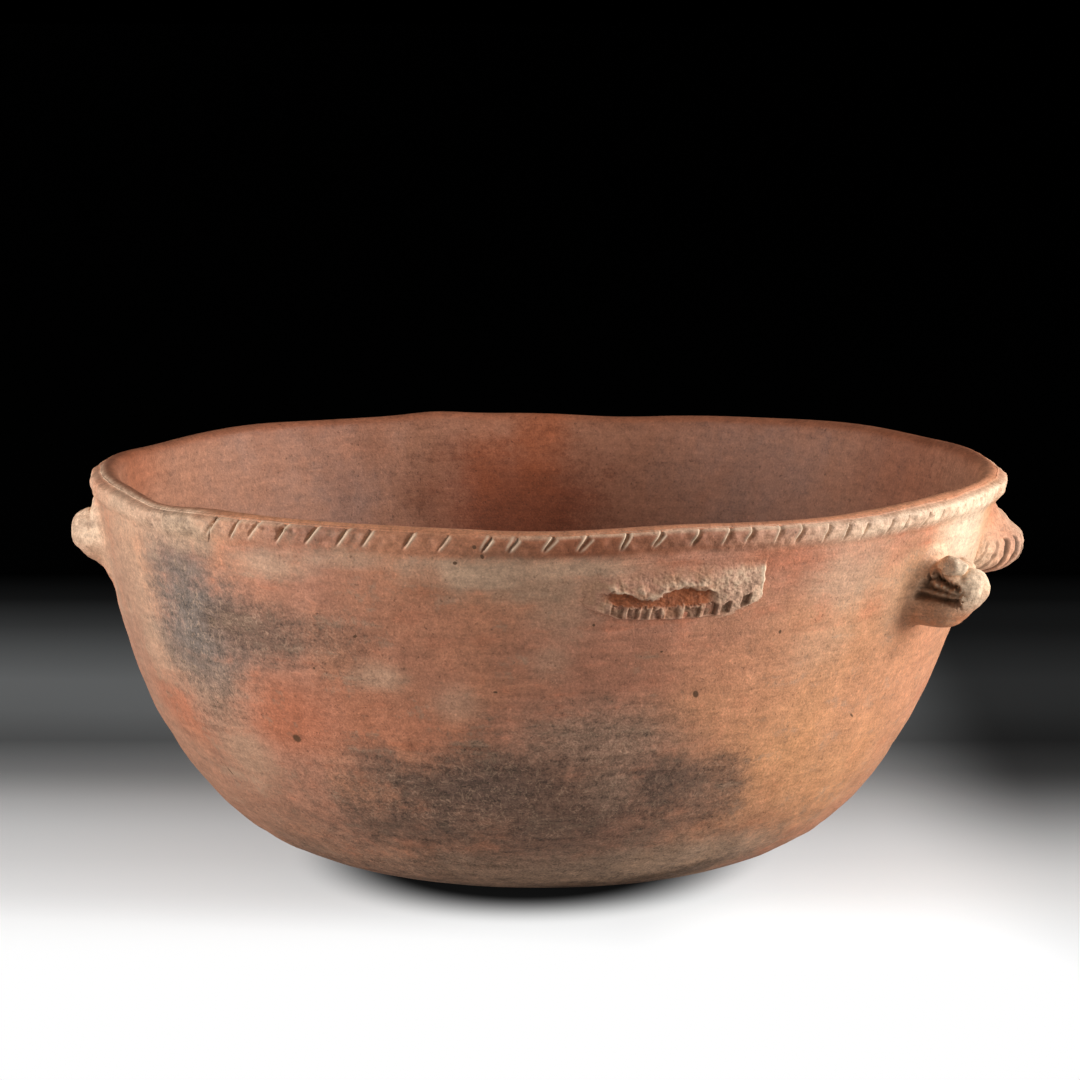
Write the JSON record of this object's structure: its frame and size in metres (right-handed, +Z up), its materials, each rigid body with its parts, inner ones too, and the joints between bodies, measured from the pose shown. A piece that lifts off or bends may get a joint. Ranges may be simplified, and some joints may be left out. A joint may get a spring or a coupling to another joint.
{
  "type": "effigy bowl",
  "caption": "Coil-built red-brown pottery bowl with a notched rim strip, an animal's head and its limbs standing out below the rim.",
  "frame": {"origin": "centre of the flat that the bowl rests on, on the bowl's axis", "axes": "+Z up along the bowl's axis, -Y towards the broken front limb's side as pictured, +X towards the whole front limb"},
  "size_m": [0.2637, 0.253, 0.1109],
  "materials": {
    "burnished_clay": "burnished low-fired orange-brown clay with grey fire clouds, fine grit, pits and tan deposits",
    "strip_clay": "paler, less burnished clay with tan deposits in the notches",
    "effigy_clay": "pale peach, rubbed clay with darker hollows",
    "broken_clay": "rough pinkish broken face with a red-brown gouge and tan grit"
  },
  "bodies": {
    "root": {"base_pad": "burnished_clay", "wall_coil_1": "burnished_clay", "wall_coil_2": "burnished_clay", "wall_coil_3": "burnished_clay", "wall_coil_4": "burnished_clay", "wall_coil_5": "burnished_clay", "rim_coil": "burnished_clay", "rim_fillet_1": "strip_clay", "rim_fillet_2": "strip_clay", "head": "effigy_clay", "eye_pellet_near": "effigy_clay", "eye_pellet_far": "effigy_clay", "front_right_limb": "broken_clay", "front_left_limb": "effigy_clay", "hind_right_limb": "effigy_clay", "hind_left_limb": "effigy_clay"}
  },
  "joints": []
}
